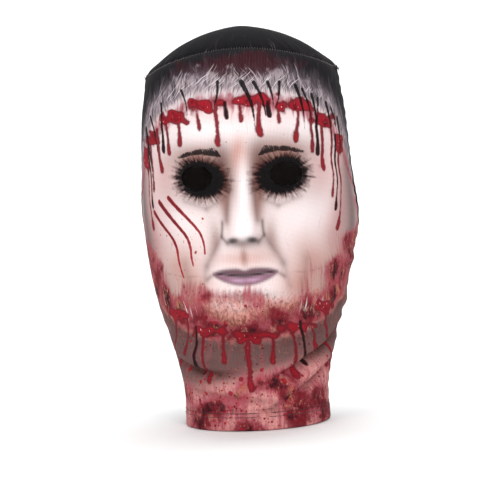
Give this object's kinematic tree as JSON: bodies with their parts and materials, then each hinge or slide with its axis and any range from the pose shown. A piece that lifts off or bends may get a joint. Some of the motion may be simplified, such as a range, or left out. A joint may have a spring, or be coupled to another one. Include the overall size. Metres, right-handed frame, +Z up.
{
  "type": "maniac mask",
  "caption": "Full-head stretch hood printed with a pale blood-streaked face and short dark hair, with cut eye holes; it covers head and neck.",
  "frame": {"origin": "inside top of the crown, where the wearer's head carries the hood", "axes": "+Z up, the face looks along -Y, +X towards the wearer's left"},
  "size_m": [0.1667, 0.2149, 0.302],
  "materials": {
    "printed_face_knit": "dye-printed fine polyester stretch knit, matt with a faint sheen",
    "printed_hair_knit": "dye-printed fine polyester stretch knit, matt with a faint sheen",
    "seam_thread": "overlocked knit edge with dark polyester thread",
    "hem_knit": "turned double band of the printed knit"
  },
  "bodies": {
    "root": {"front_panel": "printed_face_knit", "back_panel": "printed_hair_knit", "crown_seam": "seam_thread", "side_seam_left": "seam_thread", "side_seam_right": "seam_thread", "neck_hem": "hem_knit"}
  },
  "joints": []
}
